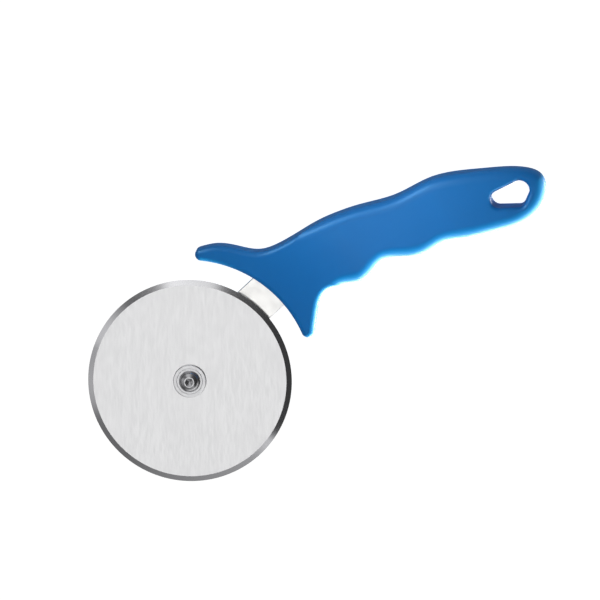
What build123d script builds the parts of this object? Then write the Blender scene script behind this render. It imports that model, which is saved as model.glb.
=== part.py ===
from build123d import *
from math import cos, radians, sin, tan
import os

# Pastry cutter wheel: a bevelled steel wheel that turns on a bush, carried by a cranked steel shank
# whose tang is moulded into a plastic handle.  The tool lies on its back on the ground plane z = 0.
# +Z is the wheel's spin axis, +X runs from the wheel towards the tail of the handle, and the origin is
# on the ground below the middle of the tool.  Sketch points are measured from the wheel's centre.

# Place of the wheel's centre in the tool's frame
WHEEL_X = -75.3
WHEEL_Y = -2.2

# Cutting wheel
WHEEL_RADIUS = 50.0
WHEEL_THICKNESS = 1.5
BEVEL_WIDTH = 2.6
EDGE_THICKNESS = 0.15
WHEEL_BOTTOM = 9.35
RUNNING_GAP = 0.05

# Bush: the sleeve carries the wheel, the flange keeps it on
SLEEVE_RADIUS = 5.0
FLANGE_RADIUS = 8.1
FLANGE_TOP_RADIUS = 7.8
FLANGE_THICKNESS = 1.1
FLANGE_CHAMFER = 0.25
GROOVE_RADIUS = 6.3
GROOVE_WIDTH = 0.3
GROOVE_DEPTH = 0.12

# M6 hardware
THREAD_RADIUS = 3.0
THREAD_CHAMFER = 0.5
CLEARANCE_RADIUS = 3.2
HEAD_RADIUS = 5.25
HEAD_HEIGHT = 3.3
HEAD_RIM = 0.4
HEAD_SHOULDER = (4.41, 2.18)
HEAD_FLAT_RADIUS = 2.5
SOCKET_FLATS = 4.0
SOCKET_DEPTH = 2.0
SOCKET_TURN = -30.5
SPACER_RADIUS = 8.0
SPACER_THICKNESS = 0.8
SPACER_CHAMFER = 0.15
LOCK_WASHER_RADIUS = 5.9
LOCK_WASHER_THICKNESS = 1.5
LOCK_WASHER_SLIT = 0.9
NUT_FLATS = 10.0
NUT_HEIGHT = 5.0
NUT_CROWN_RADIUS = 4.9
NUT_CHAMFER_ANGLE = 30.0
NUT_THREAD_RADIUS = 3.03
NUT_BORE_CHAMFER = 0.4

# Shank: a stamped plate that runs flat behind the wheel and is cranked inside the handle
PLATE_THICKNESS = 2.0
SHANK_WIDTH = 20.0
EYE_RADIUS = 10.0
SHANK_ANGLE = 12.6
SHANK_OFFSET = 5.8
EYE_DIRECTION = 25.0
STRAIGHT_START = 36.0
CRANK_START = 66.0
CRANK_END = 71.0
CRANK_BEND_RADIUS = 3.0
NECK_END = 64.0
NECK_EDGE_RADIUS = 0.3
TANG_WIDTH = 13.0
TANG_MIDDLE = (88.0, 19.6)
TANG_TIP = (126.0, 14.0)
TANG_END_DIRECTION = -9.0
TANG_HOLE_RADIUS = 3.0
PLATE_END = 150.0

# Handle: a guard with a front and a rear horn round the wheel, and a grip with finger grooves.
# Directions are in degrees from +X, and slopes are rises per millimetre.
HANDLE_THICKNESS = 20.0
GUARD_THICKNESS = 11.0
GUARD_SLOPE = 0.08
TAIL_THICKNESS = 12.0
TAIL_SLOPE = 0.1
FACE_START = 58.0
FLAT_START = 106.0
FLAT_END = 152.0
FACE_END = 205.0
GUARD_RADIUS = 60.4
FRONT_HORN_RADIUS = 3.1
FRONT_HORN_ANGLE = 53.8
FRONT_HORN_TIP = 155.0
FRONT_HORN_TOP = 75.0
FRONT_HORN_DIRECTION = -15.0
REAR_HORN_RADIUS = 3.2
REAR_HORN_ANGLE = -6.7
REAR_HORN_TIP = -105.0
REAR_HORN_SIDE = -35.0
REAR_HORN_DIRECTION = -126.0
TAIL_DIRECTION = -90.0
GUARD_EDGE_RADIUS = 2.7
GRIP_EDGE_RADIUS = 5.5
GRIP_MARGIN = 0.12
FACE_MARGIN = 0.03
OVERSHOOT = 1.0
TAIL_POINT = (200.7, 0.0)
FRONT_HORN_BACK = ((45.6, 51.8), (54.4, 45.2), (63, 38.3), (72, 36.3))
GRIP_BACK = (
    (98, 36.0),
    (117, 32.5),
    (134, 28.2),
    (152, 27.0),
    (175.8, 18.5),
    (186, 13.8),
    (194.4, 8.9),
)
GRIP_GROOVES = (
    (196.1, -9.2),
    (183.1, -13.8),
    (168, -10.7),
    (154, -6.2),
    (144, -2.7),
    (133, -2.6),
    (124, 0.5),
    (113, 4.6),
    (99.4, 1.3),
    (90.2, 4.0),
)
REAR_HORN_BACK = ((81.6, 5.7), (75.7, 2.5), (71, -2.7))

# The grip's rounded block opens out here, past the front and the rear horn
BLOCK_FRONT = ((20, 70), (45, 62), (66, 46), (82, 38.5))
BLOCK_FRONT_DIRECTION = -15.0
BLOCK_REAR = ((84, 2.0), (78, -5), (72, -16), (64, -34))
BLOCK_REAR_DIRECTION = -115.0

# Hang hole: the hull of three circles, each given as x, y and radius
HANG_HOLE_CIRCLES = ((177.5, 1.9, 4.3), (187.8, 0.5, 4.9), (185.2, -3.6, 3.1))
HANG_HOLE_EDGE_RADIUS = 2.0

# Heights of the stack, from the ground up to the screw head
NUT_TOP = NUT_HEIGHT
EYE_BOTTOM = NUT_TOP + LOCK_WASHER_THICKNESS
EYE_MIDDLE = EYE_BOTTOM + PLATE_THICKNESS / 2
SPACER_BOTTOM = EYE_BOTTOM + PLATE_THICKNESS
SPACER_TOP = SPACER_BOTTOM + SPACER_THICKNESS
WHEEL_TOP = WHEEL_BOTTOM + WHEEL_THICKNESS
FLANGE_BOTTOM = WHEEL_TOP + RUNNING_GAP
FLANGE_TOP = FLANGE_BOTTOM + FLANGE_THICKNESS
HANDLE_MIDDLE = HANDLE_THICKNESS / 2

# Splines run at about one millimetre per unit of their parameter, so their end tangents have length 1
UNIT_SPEED = (1.0, 1.0)

# Planes: TOOL looks down on the wheel's centre, SECTION is a half section with x as the radius and y
# as the height, and SHANK_SIDE looks at the shank's long edge.
TOOL = Plane(origin=(WHEEL_X, WHEEL_Y, 0))
AXLE = Axis((WHEEL_X, WHEEL_Y, 0), (0, 0, 1))
SECTION = Plane(origin=(WHEEL_X, WHEEL_Y, 0), x_dir=(1, 0, 0), z_dir=(0, -1, 0))
SHANK_ALONG = (cos(radians(SHANK_ANGLE)), sin(radians(SHANK_ANGLE)))
SHANK_ACROSS = (-SHANK_ALONG[1], SHANK_ALONG[0])
SHANK_SIDE = Plane(
    origin=(WHEEL_X, WHEEL_Y, 0),
    x_dir=(SHANK_ALONG[0], SHANK_ALONG[1], 0),
    z_dir=(SHANK_ALONG[1], -SHANK_ALONG[0], 0),
)


def on_circle(distance, angle):
    """A point at this distance and angle, in degrees, from the origin."""
    return Vector(distance * cos(radians(angle)), distance * sin(radians(angle)))


def on_shank(along, across=SHANK_OFFSET):
    """A point on the plate, from its distances along and across the shank's straight run."""
    return Vector(
        along * SHANK_ALONG[0] + across * SHANK_ACROSS[0],
        along * SHANK_ALONG[1] + across * SHANK_ACROSS[1],
    )


def finish(builder, name):
    """Label a finished piece and write it as its own STEP file."""
    builder.part.label = name
    export_step(builder.part, f"parts/{name}.step")


os.makedirs("parts", exist_ok=True)

# ---------------------------------------------------------------- cutting wheel
with BuildPart() as cutting_wheel:
    with BuildSketch(SECTION):
        with BuildLine():
            middle = WHEEL_BOTTOM + WHEEL_THICKNESS / 2
            bevel_start = WHEEL_RADIUS - BEVEL_WIDTH
            Polyline(
                (SLEEVE_RADIUS + RUNNING_GAP, WHEEL_BOTTOM),
                (bevel_start, WHEEL_BOTTOM),
                (WHEEL_RADIUS, middle - EDGE_THICKNESS / 2),
                (WHEEL_RADIUS, middle + EDGE_THICKNESS / 2),
                (bevel_start, WHEEL_TOP),
                (SLEEVE_RADIUS + RUNNING_GAP, WHEEL_TOP),
                close=True,
            )
        make_face()
    revolve(axis=AXLE)
finish(cutting_wheel, "cutting_wheel")

# ---------------------------------------------------------------- flanged bush
with BuildPart() as flanged_bush:
    with BuildSketch(SECTION):
        with BuildLine():
            Polyline(
                (CLEARANCE_RADIUS, SPACER_TOP),
                (SLEEVE_RADIUS, SPACER_TOP),
                (SLEEVE_RADIUS, FLANGE_BOTTOM),
                (FLANGE_RADIUS, FLANGE_BOTTOM),
                (FLANGE_RADIUS, FLANGE_TOP - FLANGE_CHAMFER),
                (FLANGE_TOP_RADIUS, FLANGE_TOP),
                (GROOVE_RADIUS + GROOVE_WIDTH / 2, FLANGE_TOP),
                (GROOVE_RADIUS, FLANGE_TOP - GROOVE_DEPTH),
                (GROOVE_RADIUS - GROOVE_WIDTH / 2, FLANGE_TOP),
                (CLEARANCE_RADIUS, FLANGE_TOP),
                close=True,
            )
        make_face()
    revolve(axis=AXLE)
finish(flanged_bush, "flanged_bush")

# ---------------------------------------------------------------- axle screw, M6 with a button head
with BuildPart() as axle_screw:
    with BuildSketch(SECTION):
        with BuildLine():
            head_top = FLANGE_TOP + HEAD_HEIGHT
            Polyline(
                (0, head_top),
                (0, 0),
                (THREAD_RADIUS - THREAD_CHAMFER, 0),
                (THREAD_RADIUS, THREAD_CHAMFER),
                (THREAD_RADIUS, FLANGE_TOP),
                (HEAD_RADIUS, FLANGE_TOP),
                (HEAD_RADIUS, FLANGE_TOP + HEAD_RIM),
            )
            ThreePointArc(
                (HEAD_RADIUS, FLANGE_TOP + HEAD_RIM),
                (HEAD_SHOULDER[0], FLANGE_TOP + HEAD_SHOULDER[1]),
                (HEAD_FLAT_RADIUS, head_top),
            )
            Line((HEAD_FLAT_RADIUS, head_top), (0, head_top))
        make_face()
    revolve(axis=AXLE)
    with BuildSketch(TOOL.offset(head_top)):
        RegularPolygon(SOCKET_FLATS / 2, 6, major_radius=False, rotation=SOCKET_TURN)
    extrude(amount=-SOCKET_DEPTH, mode=Mode.SUBTRACT)
    with BuildSketch(SECTION):
        with BuildLine():
            socket_floor = head_top - SOCKET_DEPTH
            Polyline(
                (0, socket_floor),
                (SOCKET_FLATS / 2, socket_floor),
                (0, socket_floor - SOCKET_FLATS / 6),
                close=True,
            )
        make_face()
    revolve(axis=AXLE, mode=Mode.SUBTRACT)
finish(axle_screw, "axle_screw")

# ---------------------------------------------------------------- spacer between wheel and shank
with BuildPart() as spacer_washer:
    with BuildSketch(TOOL.offset(SPACER_BOTTOM)):
        Circle(SPACER_RADIUS)
        Circle(CLEARANCE_RADIUS, mode=Mode.SUBTRACT)
    extrude(amount=SPACER_THICKNESS)
    outer_edges = spacer_washer.edges().filter_by(GeomType.CIRCLE).group_by(SortBy.RADIUS)[-1]
    chamfer(outer_edges, SPACER_CHAMFER)
finish(spacer_washer, "spacer_washer")

# ---------------------------------------------------------------- split lock washer under the nut
with BuildPart() as lock_washer:
    with BuildSketch(TOOL.offset(NUT_TOP)):
        Circle(LOCK_WASHER_RADIUS)
        Circle(CLEARANCE_RADIUS, mode=Mode.SUBTRACT)
    extrude(amount=LOCK_WASHER_THICKNESS)
    with BuildSketch(SECTION):
        with BuildLine():
            lean = LOCK_WASHER_THICKNESS / 2
            Polyline(
                (-lean - LOCK_WASHER_SLIT / 2, NUT_TOP),
                (-lean + LOCK_WASHER_SLIT / 2, NUT_TOP),
                (lean + LOCK_WASHER_SLIT / 2, NUT_TOP + LOCK_WASHER_THICKNESS),
                (lean - LOCK_WASHER_SLIT / 2, NUT_TOP + LOCK_WASHER_THICKNESS),
                close=True,
            )
        make_face()
    extrude(amount=2 * LOCK_WASHER_RADIUS, mode=Mode.SUBTRACT)
finish(lock_washer, "lock_washer")

# ---------------------------------------------------------------- axle nut, M6 hexagon
with BuildPart() as axle_nut:
    with BuildSketch(TOOL):
        RegularPolygon(NUT_FLATS / 2, 6, major_radius=False)
        Circle(NUT_THREAD_RADIUS, mode=Mode.SUBTRACT)
    extrude(amount=NUT_HEIGHT)
    with BuildSketch(SECTION):
        with BuildLine():
            corner = NUT_FLATS / 2 / cos(radians(30))
            corner_drop = (corner - NUT_CROWN_RADIUS) * tan(radians(NUT_CHAMFER_ANGLE))
            Polyline(
                (0, 0),
                (NUT_CROWN_RADIUS, 0),
                (corner, corner_drop),
                (corner, NUT_HEIGHT - corner_drop),
                (NUT_CROWN_RADIUS, NUT_HEIGHT),
                (0, NUT_HEIGHT),
                close=True,
            )
        make_face()
    revolve(axis=AXLE, mode=Mode.INTERSECT)
    bore_edges = axle_nut.edges().filter_by(GeomType.CIRCLE).group_by(SortBy.RADIUS)[0]
    chamfer(bore_edges, NUT_BORE_CHAMFER)
finish(axle_nut, "axle_nut")

# ---------------------------------------------------------------- shank: eye, crank and tang
with BuildPart() as shank:
    with BuildSketch(TOOL.offset(EYE_BOTTOM)):
        neck_start = on_shank(STRAIGHT_START)
        neck_end = on_shank(NECK_END)
        straight_on = Vector(*SHANK_ALONG)
        with BuildLine():
            Spline(
                (0, 0),
                neck_start,
                tangents=[on_circle(1, EYE_DIRECTION), straight_on],
                tangent_scalars=UNIT_SPEED,
            )
            Line(neck_start, neck_end)
        trace(line_width=SHANK_WIDTH)
        with BuildLine():
            Spline(
                neck_end,
                TANG_MIDDLE,
                TANG_TIP,
                tangents=[straight_on, on_circle(1, TANG_END_DIRECTION)],
                tangent_scalars=UNIT_SPEED,
            )
        trace(line_width=TANG_WIDTH)
        Circle(EYE_RADIUS)
        with Locations(TANG_TIP):
            Circle(TANG_WIDTH / 2)
        Circle(CLEARANCE_RADIUS, mode=Mode.SUBTRACT)
        with Locations(TANG_MIDDLE, TANG_TIP):
            Circle(TANG_HOLE_RADIUS, mode=Mode.SUBTRACT)
    extrude(amount=HANDLE_THICKNESS)
    with BuildSketch(SHANK_SIDE):
        with BuildLine():
            FilletPolyline(
                (-2 * EYE_RADIUS, EYE_MIDDLE),
                (CRANK_START, EYE_MIDDLE),
                (CRANK_END, HANDLE_MIDDLE),
                (PLATE_END, HANDLE_MIDDLE),
                radius=CRANK_BEND_RADIUS,
            )
        trace(line_width=PLATE_THICKNESS)
    extrude(amount=2 * SHANK_WIDTH, both=True, mode=Mode.INTERSECT)
    neck_edges = shank.edges().filter_by(GeomType.LINE).filter_by(
        lambda edge: edge.length > SHANK_WIDTH and edge.center().Z < SPACER_TOP
    )
    fillet(neck_edges, NECK_EDGE_RADIUS)
finish(shank, "shank")

# ---------------------------------------------------------------- handle, moulded round the tang
def handle_section(margin=0.0):
    """The handle's thickness against the distance from the axle: thin at the guard and at the tail."""
    with BuildSketch(SECTION) as section:
        with BuildLine():
            for side in (-1, 1):
                guard_height = HANDLE_MIDDLE + side * (GUARD_THICKNESS / 2 + margin)
                face_height = HANDLE_MIDDLE + side * (HANDLE_THICKNESS / 2 + margin)
                tail_height = HANDLE_MIDDLE + side * (TAIL_THICKNESS / 2 + margin)
                Spline(
                    (FACE_START, guard_height),
                    (FLAT_START, face_height),
                    tangents=[(1, side * GUARD_SLOPE), (1, 0)],
                    tangent_scalars=UNIT_SPEED,
                )
                Line((FLAT_START, face_height), (FLAT_END, face_height))
                Spline(
                    (FLAT_END, face_height),
                    (FACE_END, tail_height),
                    tangents=[(1, 0), (1, -side * TAIL_SLOPE)],
                    tangent_scalars=UNIT_SPEED,
                )
            for distance, thickness in ((FACE_START, GUARD_THICKNESS), (FACE_END, TAIL_THICKNESS)):
                Line(
                    (distance, HANDLE_MIDDLE - thickness / 2 - margin),
                    (distance, HANDLE_MIDDLE + thickness / 2 + margin),
                )
        make_face()
    return section.sketch


def shifted(points, rise):
    """The same points, moved up by rise."""
    return [(x, y + rise) for x, y in points]


# The grip's well rounded block.  It has the grip's outline, but at the guard it opens out past both
# horns, so that its large edge radius fades away there.
with BuildPart() as grip_block:
    with BuildSketch(TOOL.offset(-OVERSHOOT)):
        with BuildLine():
            block_tail = (TAIL_POINT[0] + GRIP_MARGIN, TAIL_POINT[1])
            block_back = Spline(
                *BLOCK_FRONT,
                *shifted(GRIP_BACK, GRIP_MARGIN),
                block_tail,
                tangents=[on_circle(1, BLOCK_FRONT_DIRECTION), on_circle(1, TAIL_DIRECTION)],
                tangent_scalars=UNIT_SPEED,
            )
            block_underside = Spline(
                block_tail,
                *shifted(GRIP_GROOVES, -GRIP_MARGIN),
                *BLOCK_REAR,
                tangents=[on_circle(1, TAIL_DIRECTION), on_circle(1, BLOCK_REAR_DIRECTION)],
                tangent_scalars=UNIT_SPEED,
            )
            Polyline(block_underside @ 1, (BLOCK_FRONT[0][0], BLOCK_REAR[-1][1]), block_back @ 0)
        make_face()
    extrude(amount=HANDLE_THICKNESS + 2 * OVERSHOOT)
    add(handle_section())
    revolve(axis=AXLE, mode=Mode.INTERSECT)
    open_end_x = WHEEL_X + FACE_START
    long_edges = grip_block.edges().filter_by(
        lambda edge: edge.geom_type == GeomType.BSPLINE and edge.center().X > open_end_x
    )
    fillet(long_edges, GRIP_EDGE_RADIUS)

with BuildPart() as handle:
    with BuildSketch(TOOL.offset(-OVERSHOOT)):
        front_horn = on_circle(GUARD_RADIUS + FRONT_HORN_RADIUS, FRONT_HORN_ANGLE)
        front_horn_tip = front_horn + on_circle(FRONT_HORN_RADIUS, FRONT_HORN_TIP)
        front_horn_top = front_horn + on_circle(FRONT_HORN_RADIUS, FRONT_HORN_TOP)
        rear_horn = on_circle(GUARD_RADIUS + REAR_HORN_RADIUS, REAR_HORN_ANGLE)
        rear_horn_tip = rear_horn + on_circle(REAR_HORN_RADIUS, REAR_HORN_TIP)
        rear_horn_side = rear_horn + on_circle(REAR_HORN_RADIUS, REAR_HORN_SIDE)
        with BuildLine():
            guard_sweep = FRONT_HORN_ANGLE - REAR_HORN_ANGLE
            guard = CenterArc((0, 0), GUARD_RADIUS, REAR_HORN_ANGLE, guard_sweep)
            ThreePointArc(guard @ 1, front_horn_tip, front_horn_top)
            Spline(
                front_horn_top,
                *FRONT_HORN_BACK,
                *GRIP_BACK,
                TAIL_POINT,
                tangents=[on_circle(1, FRONT_HORN_DIRECTION), on_circle(1, TAIL_DIRECTION)],
                tangent_scalars=UNIT_SPEED,
            )
            Spline(
                TAIL_POINT,
                *GRIP_GROOVES,
                *REAR_HORN_BACK,
                rear_horn_side,
                tangents=[on_circle(1, TAIL_DIRECTION), on_circle(1, REAR_HORN_DIRECTION)],
                tangent_scalars=UNIT_SPEED,
            )
            ThreePointArc(rear_horn_side, rear_horn_tip, guard @ 0)
        make_face()
    extrude(amount=HANDLE_THICKNESS + 2 * OVERSHOOT)
    add(handle_section(FACE_MARGIN))
    revolve(axis=AXLE, mode=Mode.INTERSECT)
    fillet(handle.edges().filter_by(GeomType.BSPLINE), GUARD_EDGE_RADIUS)
    add(grip_block.part, mode=Mode.INTERSECT)
    with BuildSketch(TOOL.offset(-OVERSHOOT)):
        for x, y, radius in HANG_HOLE_CIRCLES:
            with Locations((x, y)):
                Circle(radius)
        make_hull()
    extrude(amount=HANDLE_THICKNESS + 2 * OVERSHOOT, mode=Mode.SUBTRACT)
    hole_edges = handle.edges(Select.LAST).filter_by(GeomType.LINE, reverse=True)
    fillet(hole_edges, HANG_HOLE_EDGE_RADIUS)
    add(shank.part, mode=Mode.SUBTRACT)
finish(handle, "handle")
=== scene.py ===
"""Pastry cutter wheel: materials, light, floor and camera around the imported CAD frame."""

from math import cos, pi, radians, sin

import bpy
from mathutils import Matrix, Vector


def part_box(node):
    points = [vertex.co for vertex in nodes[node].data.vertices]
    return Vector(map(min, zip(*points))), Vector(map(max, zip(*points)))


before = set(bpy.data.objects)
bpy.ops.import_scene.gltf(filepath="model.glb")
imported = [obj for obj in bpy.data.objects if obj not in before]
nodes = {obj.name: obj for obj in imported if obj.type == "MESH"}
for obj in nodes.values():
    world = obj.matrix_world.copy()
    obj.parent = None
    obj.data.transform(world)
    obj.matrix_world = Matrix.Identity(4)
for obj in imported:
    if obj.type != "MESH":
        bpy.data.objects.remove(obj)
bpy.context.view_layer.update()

MM = 0.001

wheel_low, wheel_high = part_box("cutting_wheel")
wheel_centre = (wheel_low + wheel_high) / 2
wheel_radius = (wheel_high.x - wheel_low.x) / 2

# The handle's axis, +X, rises this much to the right in the picture
PICTURE_TURN = radians(30.5)


# ------------------------------------------------------------------ node helpers
class Graph:
    """A material or world node tree, with short calls for the nodes that are used here."""

    def __init__(self, tree):
        self.tree = tree
        tree.nodes.clear()

    def node(self, kind, inputs=None, **settings):
        made = self.tree.nodes.new(kind)
        for name, value in settings.items():
            setattr(made, name, value)
        for name, value in (inputs or {}).items():
            self.put(made.inputs[name], value)
        return made

    def put(self, socket, value):
        """A value is a number or a colour, or another node's output, which is linked."""
        if isinstance(value, bpy.types.NodeSocket):
            self.tree.links.new(value, socket)
        else:
            socket.default_value = value

    def math(self, operation, a, b=0.0):
        made = self.node("ShaderNodeMath", operation=operation)
        self.put(made.inputs[0], a)
        self.put(made.inputs[1], b)
        return made.outputs[0]

    def remap(self, value, low, high, to_low=0.0, to_high=1.0):
        made = self.node(
            "ShaderNodeMapRange",
            {"Value": value, "From Min": low, "From Max": high, "To Min": to_low, "To Max": to_high},
            interpolation_type="SMOOTHSTEP",
        )
        return made.outputs["Result"]

    def blend(self, factor, first, second):
        made = self.node("ShaderNodeMix", data_type="RGBA", clamp_factor=True)
        self.put(made.inputs[0], factor)
        self.put(made.inputs[6], first)
        self.put(made.inputs[7], second)
        return made.outputs[2]

    def noise(self, vector, scale, detail=3.0, roughness=0.5):
        made = self.node(
            "ShaderNodeTexNoise",
            {"Vector": vector, "Scale": scale, "Detail": detail, "Roughness": roughness},
        )
        return made.outputs["Fac"]

    def mapped(self, vector, location=(0, 0, 0), turn=0.0, scale=(1, 1, 1)):
        made = self.node(
            "ShaderNodeMapping",
            {"Vector": vector, "Location": location, "Rotation": (0, 0, turn), "Scale": scale},
        )
        return made.outputs[0]

    def bump(self, height, distance, strength):
        made = self.node(
            "ShaderNodeBump",
            {"Height": height, "Distance": distance, "Strength": strength},
        )
        return made.outputs["Normal"]

    def rings(self, radius, scale):
        """Noise that varies with the radius alone."""
        scaled = self.math("MULTIPLY", radius, scale)
        vector = self.node("ShaderNodeCombineXYZ", {"X": scaled}).outputs[0]
        return self.noise(vector, 1.0, 2.0)


def new_material(name):
    material = bpy.data.materials.new(name)
    material.use_nodes = True
    return material, Graph(material.node_tree)


def surface(graph, inputs):
    """The Principled shader with these inputs, wired to the material's output."""
    shader = graph.node("ShaderNodeBsdfPrincipled", inputs)
    graph.node("ShaderNodeOutputMaterial", {"Surface": shader.outputs[0]})


def grey(level, blue=0.0):
    """An opaque grey, with a little blue added or taken away."""
    return (level, level, level + blue, 1)


def object_position(graph):
    """The position in the piece's own coordinates, so a finish turns with its piece."""
    return graph.node("ShaderNodeTexCoord").outputs["Object"]


def axle_radius(graph, position):
    """Distance from the wheel's axle, in metres."""
    centred = graph.mapped(position, location=(-wheel_centre.x, -wheel_centre.y, 0))
    flat = graph.node("ShaderNodeVectorMath", operation="MULTIPLY")
    graph.put(flat.inputs[0], centred)
    graph.put(flat.inputs[1], (1, 1, 0))
    length = graph.node("ShaderNodeVectorMath", operation="LENGTH")
    graph.put(length.inputs[0], flat.outputs[0])
    return length.outputs["Value"]


def upright(graph):
    """How level a surface is: 1 where it faces up or down, 0 on a side wall."""
    normal = graph.node("ShaderNodeNewGeometry").outputs["Normal"]
    height = graph.node("ShaderNodeSeparateXYZ", {0: normal}).outputs["Z"]
    return graph.math("ABSOLUTE", height)


# ------------------------------------------------------------------ materials
DEEP_BLUE = (0.0036, 0.138, 0.450, 1)
MAIN_BLUE = (0.0050, 0.150, 0.478, 1)
FLOW_BLUE = (0.008, 0.190, 0.530, 1)
WORN_BLUE = (0.05, 0.27, 0.60, 1)


def handle_plastic():
    """Blue moulded plastic: flow clouds, a fine moulded grain, worn edges and faint scuffs."""
    material, g = new_material("handle_plastic")
    position = object_position(g)
    clouds = g.noise(position, 22.0, 3.0, 0.5)
    flow = g.noise(g.mapped(position, scale=(60, 420, 420)), 1.0, 4.0, 0.6)
    grain = g.noise(position, 1900.0, 2.0, 0.5)
    scuffs = g.noise(g.mapped(position, turn=0.5, scale=(240, 2600, 900)), 1.0, 3.0, 0.65)
    scuff_mask = g.remap(scuffs, 0.62, 0.72)
    rounded = g.remap(upright(g), 0.93, 0.55)
    worn = g.math("MULTIPLY", rounded, g.remap(g.noise(position, 260.0, 4.0, 0.6), 0.5, 0.75))

    colour = g.blend(g.remap(clouds, 0.3, 0.7), DEEP_BLUE, MAIN_BLUE)
    colour = g.blend(g.math("MULTIPLY", flow, 0.10), colour, FLOW_BLUE)
    colour = g.blend(g.math("MULTIPLY", worn, 0.10), colour, WORN_BLUE)
    roughness = g.remap(clouds, 0.3, 0.7, 0.35, 0.39)
    roughness = g.math("ADD", roughness, g.math("MULTIPLY", scuff_mask, 0.10))
    roughness = g.math("ADD", roughness, g.math("MULTIPLY", grain, 0.06))
    relief = g.math("ADD", g.math("MULTIPLY", grain, 0.5), g.math("MULTIPLY", flow, 0.5))
    relief = g.math("SUBTRACT", relief, g.math("MULTIPLY", scuff_mask, 0.4))
    surface(
        g,
        {
            "Base Color": colour,
            "Roughness": roughness,
            "Normal": g.bump(relief, 0.04 * MM, 0.5),
            "IOR": 1.49,
            "Specular IOR Level": 0.5,
            "Specular Tint": (0.42, 0.72, 1.0, 1),
            "Subsurface Weight": 0.08,
            "Subsurface Radius": (0.2, 0.6, 1.0),
            "Subsurface Scale": 1.5 * MM,
        },
    )
    return material


def steel(name, build):
    """A metal whose colour, roughness and relief come from build(graph, position)."""
    material, g = new_material(name)
    colour, roughness, normal = build(g, object_position(g))
    surface(
        g,
        {"Base Color": colour, "Metallic": 1.0, "Roughness": roughness, "Normal": normal},
    )
    return material


# The bevel on the disc is 2.6 mm wide
BEVEL_STARTS = wheel_radius - 2.62 * MM
BEVEL_IS_FULL = wheel_radius - 2.56 * MM


def brushed_disc(g, position):
    """Fine straight grain over the face, and a smoother ground bevel round the rim."""
    along = g.mapped(position, turn=-(pi / 2 - PICTURE_TURN))
    fine = g.noise(g.mapped(along, scale=(190, 1500, 500)), 1.0, 2.0, 0.5)
    streaks = g.noise(g.mapped(along, scale=(60, 480, 60)), 1.0, 2.0, 0.5)
    patches = g.noise(position, 60.0, 2.0, 0.5)
    radius = axle_radius(g, position)
    bevel = g.remap(radius, BEVEL_STARTS, BEVEL_IS_FULL)
    rings = g.rings(radius, 9000.0)
    nicks = g.remap(g.noise(g.mapped(position, scale=(900, 900, 200)), 1.0, 2.0), 0.60, 0.75)

    face = g.blend(g.remap(streaks, 0.3, 0.7), grey(0.707, 0.005), grey(0.727, 0.005))
    face = g.blend(g.math("MULTIPLY", g.remap(fine, 0.3, 0.7), 0.15), face, grey(0.60, 0.01))
    face = g.blend(g.math("MULTIPLY", patches, 0.10), face, grey(0.86, -0.01))
    rim = g.blend(g.math("MULTIPLY", nicks, 0.2), grey(0.74, 0.01), grey(0.55, 0.01))
    colour = g.blend(bevel, face, rim)
    face_roughness = g.remap(fine, 0.3, 0.7, 0.299, 0.323)
    roughness = g.math("ADD", face_roughness, g.math("MULTIPLY", bevel, -0.19))
    grain = g.math("MULTIPLY", fine, g.math("SUBTRACT", 1.0, bevel))
    relief = g.math("ADD", grain, g.math("MULTIPLY", rings, g.math("MULTIPLY", bevel, 0.3)))
    return colour, roughness, g.bump(relief, 0.004 * MM, 0.10)


def tumbled_plate(g, position):
    """The matt, almost white finish of a tumbled stamping, with painted shade darkening its side
    walls.
    """
    mottle = g.noise(position, 160.0, 4.0, 0.6)
    pits = g.noise(position, 1500.0, 2.0, 0.5)
    colour = g.blend(g.remap(mottle, 0.3, 0.7), (0.87, 0.865, 0.845, 1), (0.93, 0.925, 0.905, 1))
    # The side walls are painted a darker grey: painted shade along the plate's edges, not a change in
    # the steel.
    painted_edge_shade = g.remap(upright(g), 0.95, 0.5)
    colour = g.blend(g.math("MULTIPLY", painted_edge_shade, 0.3), colour, grey(0.55, 0.01))
    roughness = g.remap(mottle, 0.3, 0.7, 0.28, 0.36)
    return colour, roughness, g.bump(pits, 0.01 * MM, 0.3)


def turned(g, position):
    """Concentric tool marks."""
    radius = axle_radius(g, position)
    marks = g.rings(radius, 7000.0)
    smear = g.noise(position, 500.0, 3.0, 0.6)
    colour = g.blend(g.remap(marks, 0.35, 0.65), grey(0.77, 0.01), grey(0.80, 0.01))
    colour = g.blend(g.math("MULTIPLY", smear, 0.10), colour, grey(0.55, 0.02))
    roughness = g.remap(smear, 0.3, 0.7, 0.34, 0.40)
    return colour, roughness, g.bump(marks, 0.003 * MM, 0.1)


def bright_fastener(g, position):
    """A cold-formed and pickled screw: bright, with faint flow marks and fine pits."""
    flow = g.noise(position, 900.0, 4.0, 0.6)
    pits = g.remap(g.noise(position, 2600.0, 2.0, 0.5), 0.60, 0.72)
    colour = g.blend(g.remap(flow, 0.3, 0.7), grey(0.47, 0.01), grey(0.55, 0.01))
    colour = g.blend(g.math("MULTIPLY", pits, 0.4), colour, grey(0.22, 0.01))
    roughness = g.remap(flow, 0.3, 0.7, 0.22, 0.30)
    return colour, roughness, g.bump(flow, 0.01 * MM, 0.4)


finishes = {
    "handle_plastic": handle_plastic(),
    "wheel_steel": steel("wheel_steel", brushed_disc),
    "shank_steel": steel("shank_steel", tumbled_plate),
    "turned_steel": steel("turned_steel", turned),
    "screw_steel": steel("screw_steel", bright_fastener),
}
for piece in nodes.values():
    for slot in piece.material_slots:
        slot.material = finishes[slot.material.name.split(".")[0]]

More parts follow.
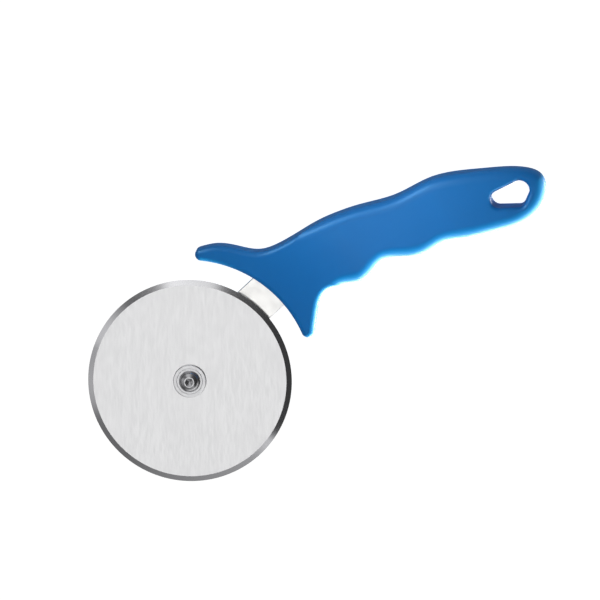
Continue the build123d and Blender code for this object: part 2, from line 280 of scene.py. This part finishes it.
# ------------------------------------------------------------------ floor
FLOOR_HALF = 12.0
floor_mesh = bpy.data.meshes.new("floor")
corners = [(x * FLOOR_HALF, y * FLOOR_HALF, 0) for x, y in ((-1, -1), (1, -1), (1, 1), (-1, 1))]
floor_mesh.from_pydata(corners, [], [(0, 1, 2, 3)])
floor = bpy.data.objects.new("floor", floor_mesh)
bpy.context.scene.collection.objects.link(floor)
floor.visible_glossy = False
floor_material, g = new_material("floor_white")
speckle = g.noise(object_position(g), 300.0, 2.0)
surface(
    g,
    {
        "Base Color": g.blend(speckle, grey(0.33), grey(0.37)),
        "Roughness": 0.9,
        "Specular IOR Level": 0.0,
        "Emission Color": (1, 1, 1, 1),
        "Emission Strength": 1.0,
    },
)
floor_mesh.materials.append(floor_material)

# ------------------------------------------------------------------ light
world = bpy.data.worlds.new("studio")
bpy.context.scene.world = world
world.use_nodes = True
world.cycles_visibility.diffuse = False
g = Graph(world.node_tree)
direction = g.node("ShaderNodeTexCoord").outputs["Generated"]
picture_direction = g.mapped(direction, turn=PICTURE_TURN)
axes = g.node("ShaderNodeSeparateXYZ", {0: picture_direction})
across, along, height = axes.outputs["X"], axes.outputs["Y"], axes.outputs["Z"]
turn = g.node("ShaderNodeTexGradient", {"Vector": picture_direction}, gradient_type="RADIAL")
around = turn.outputs["Fac"]
# Brightness of the studio's walls against the picture direction in degrees: dark on the right, a wide
# window at the top, a narrow one at the lower right, and greys on the left and below
WALLS = (
    (-178, 0.40),
    (-160, 0.50),
    (-153, 0.44),
    (-145, 0.18),
    (-125, 0.17),
    (-105, 0.27),
    (-66, 0.41),
    (-56, 0.90),
    (-53, 0.05),
    (20, 0.05),
    (55, 0.10),
    (70, 0.16),
    (86, 0.70),
    (118, 0.97),
    (128, 0.30),
    (150, 0.12),
    (168, 0.68),
)
ramp = g.node("ShaderNodeValToRGB", {"Fac": around})
while len(ramp.color_ramp.elements) > 1:
    ramp.color_ramp.elements.remove(ramp.color_ramp.elements[-1])
for index, (angle, level) in enumerate(WALLS):
    place = angle / 360 + 0.5
    stop = ramp.color_ramp.elements[0] if index == 0 else ramp.color_ramp.elements.new(place)
    stop.position = place
    stop.color = (level, level, level * 1.02, 1)
# A long soft box overhead, lying along the picture's vertical
box_across = g.math("MULTIPLY", g.remap(across, -0.24, -0.16), g.remap(across, 0.10, 0.03))
box_along = g.math("MULTIPLY", g.remap(along, -0.46, -0.34), g.remap(along, 0.36, 0.24))
soft_box = g.math("MULTIPLY", box_across, box_along)
overhead = g.math("MULTIPLY", soft_box, g.remap(height, 0.0, 0.5))
sky = g.blend(overhead, ramp.outputs["Color"], grey(1.68))
# Low down the studio is bright towards the picture's lower right, and dim elsewhere
GROUND_LIGHT = radians(-60)
light_across = g.math("MULTIPLY", across, cos(GROUND_LIGHT))
light_along = g.math("MULTIPLY", along, sin(GROUND_LIGHT))
towards_light = g.math("ADD", light_across, light_along)
ground = g.blend(g.remap(towards_light, 0.45, 0.95), grey(0.10), grey(1.4))
sky = g.blend(g.remap(height, 0.35, 0.05), sky, ground)
path = g.node("ShaderNodeLightPath")
seen = g.blend(path.outputs["Is Camera Ray"], sky, grey(1.0))
background = g.node("ShaderNodeBackground", {"Color": seen, "Strength": 1.0})
g.node("ShaderNodeOutputWorld", {"Surface": background.outputs[0]})


def from_picture(tilt, towards):
    """The unit vector that leans by tilt from straight up, towards a direction in the picture."""
    azimuth = towards - PICTURE_TURN
    return Vector((sin(tilt) * cos(azimuth), sin(tilt) * sin(azimuth), cos(tilt)))


def add_light(name, light, place, source, only=None):
    """Puts a light at place, shining against source, for the node named by only or for everything."""
    lamp = bpy.data.objects.new(name, light)
    lamp.location = place
    lamp.rotation_euler = source.to_track_quat("Z", "Y").to_euler()
    bpy.context.scene.collection.objects.link(lamp)
    if only:
        receivers = bpy.data.collections.new(f"{name}_receivers")
        receivers.objects.link(nodes[only])
        lamp.light_linking.receiver_collection = receivers
        lamp.light_linking.blocker_collection = receivers
    return lamp


def sun(name, strength, spread, tilt, towards, only=None, colour=(1, 1, 1)):
    """A light from far away, seen by matt surfaces only.  Angles are in degrees."""
    light = bpy.data.lights.new(name, "SUN")
    light.energy = strength
    light.angle = radians(spread)
    light.color = colour
    source = from_picture(radians(tilt), radians(towards))
    lamp = add_light(name, light, (0, 0, 2), source, only)
    lamp.visible_glossy = False


def panel(name, radiance, size, place, source, matt=False, colour=(1, 1, 1)):
    """A square soft box for the handle alone, which lights it or is only reflected by it."""
    light = bpy.data.lights.new(name, "AREA")
    light.size = size
    light.energy = radiance * pi * size * size
    light.color = colour
    lamp = add_light(name, light, place, source, "handle")
    lamp.visible_camera = False
    lamp.visible_diffuse = matt
    lamp.visible_glossy = not matt


FAR = 2.0  # metres


def far_panel(name, radiance, size, tilt, towards, colour=(1, 1, 1)):
    """A reflected soft box far from the handle.  Angles are in degrees."""
    source = from_picture(radians(tilt), radians(towards))
    panel(name, radiance, size, handle_centre + FAR * source, source, colour=colour)


NEAR_SIZE = 60 * MM


def near_lamp(name, radiance, x, y, height):
    """A small lamp for the grip's matt colour, in mm from the wheel's centre and above the face."""
    from_wheel = Vector((x * MM, y * MM, 0))
    place = Vector((wheel_centre.x, wheel_centre.y, handle_high.z + height * MM)) + from_wheel
    panel(name, radiance, NEAR_SIZE, place, place - handle_centre, matt=True)


handle_low, handle_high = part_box("handle")
handle_centre = (handle_low + handle_high) / 2

GREENISH = (1.0, 1.38, 0.84)
PALE_BLUE = (0.66, 0.88, 1.0)
sun("overhead", strength=0.58, spread=60, tilt=15, towards=60)
sun("low_right", strength=9.2, spread=12, tilt=94, towards=-42, only="handle", colour=GREENISH)
sun("face_fill", strength=0.66, spread=16, tilt=60, towards=-55, only="handle")
sun("low_left", strength=0.9, spread=30, tilt=82, towards=205, only="handle")
near_lamp("front_lamp", radiance=3.45, x=108, y=26, height=100)
near_lamp("side_lamp", radiance=5.6, x=160, y=80, height=90)
far_panel("edge_glint", radiance=18.0, size=0.9, tilt=58, towards=136, colour=PALE_BLUE)
far_panel("rim_glow", radiance=12.5, size=3.2, tilt=113, towards=-37)

# ------------------------------------------------------------------ camera
# The camera looks almost straight down on the tool.  It leans by TILT towards the picture direction
# LEAN_TOWARDS, and the picture's centre is a point on the guard.  DISTANCE and FRAME_WIDTH are in
# metres, and SENSOR is in millimetres.
TILT = radians(10.26)
LEAN_TOWARDS = radians(68.9)
DISTANCE = 4.0
FRAME_WIDTH = 0.2929
SENSOR = 36.0
centre = wheel_centre + Vector((67.18 * MM, 7.27 * MM, 0))

outward = from_picture(TILT, LEAN_TOWARDS)
azimuth = LEAN_TOWARDS - PICTURE_TURN
level = Vector((sin(azimuth), -cos(azimuth), 0))
steep = outward.cross(level)
roll = pi / 2 - LEAN_TOWARDS
right = cos(roll) * level + sin(roll) * steep
up = outward.cross(right)
camera_data = bpy.data.cameras.new("camera")
camera_data.sensor_width = SENSOR
camera_data.lens = SENSOR * DISTANCE / FRAME_WIDTH
camera_data.clip_start = 0.01
camera_data.clip_end = 50.0
camera = bpy.data.objects.new("camera", camera_data)
rotation = Matrix((right, up, outward)).transposed().to_4x4()
camera.matrix_world = Matrix.Translation(centre + DISTANCE * outward) @ rotation
bpy.context.scene.collection.objects.link(camera)
bpy.context.scene.camera = camera
bpy.context.scene.view_settings.view_transform = "Standard"
